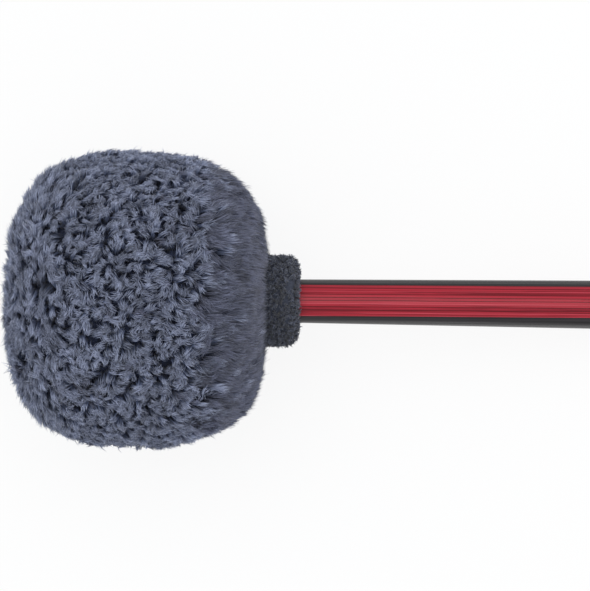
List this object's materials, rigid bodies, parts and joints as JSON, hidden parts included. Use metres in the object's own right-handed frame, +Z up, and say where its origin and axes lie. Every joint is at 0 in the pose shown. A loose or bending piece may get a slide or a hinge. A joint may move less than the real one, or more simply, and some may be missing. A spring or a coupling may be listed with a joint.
{
  "type": "gong mallet",
  "caption": "Large soft gong mallet: a shaggy plush head over a weighted core, a fuzzy collar and a slightly tapering laminated hardwood handle.",
  "frame": {"origin": "on the table, under the middle of the whole mallet's box as it lies: head and butt both touch z = 0", "axes": "+X from the head to the butt, +Z up, +Y across, through the stack of veneers"},
  "size_m": [0.3888, 0.129, 0.1306],
  "materials": {
    "plush": "matte",
    "collar_felt": "matte",
    "red_veneer": "gloss",
    "black_veneer": "gloss",
    "steel": "satin",
    "zinc_steel": "satin",
    "felt": "matte",
    "foam": "matte",
    "thread": "matte"
  },
  "bodies": {
    "root": {"back_felt_disc": "felt", "back_washer": "zinc_steel", "black_veneer_lower_1": "black_veneer", "black_veneer_lower_2": "black_veneer", "black_veneer_lower_3": "black_veneer", "black_veneer_lower_4": "black_veneer", "black_veneer_lower_5": "black_veneer", "black_veneer_upper_1": "black_veneer", "black_veneer_upper_2": "black_veneer", "collar_ring": "collar_felt", "core_screw": "zinc_steel", "core_weight": "steel", "felt_wrap": "felt", "fleece_cover": "plush", "foam_back_cap": "foam", "foam_front_cap": "foam", "foam_sleeve": "foam", "front_felt_disc": "felt", "front_washer": "zinc_steel", "neck_tie": "thread", "red_veneer_01": "red_veneer", "red_veneer_02": "red_veneer", "red_veneer_03": "red_veneer", "red_veneer_04": "red_veneer", "red_veneer_05": "red_veneer", "red_veneer_06": "red_veneer", "red_veneer_07": "red_veneer", "red_veneer_08": "red_veneer", "red_veneer_09": "red_veneer", "red_veneer_10": "red_veneer"}
  },
  "joints": []
}
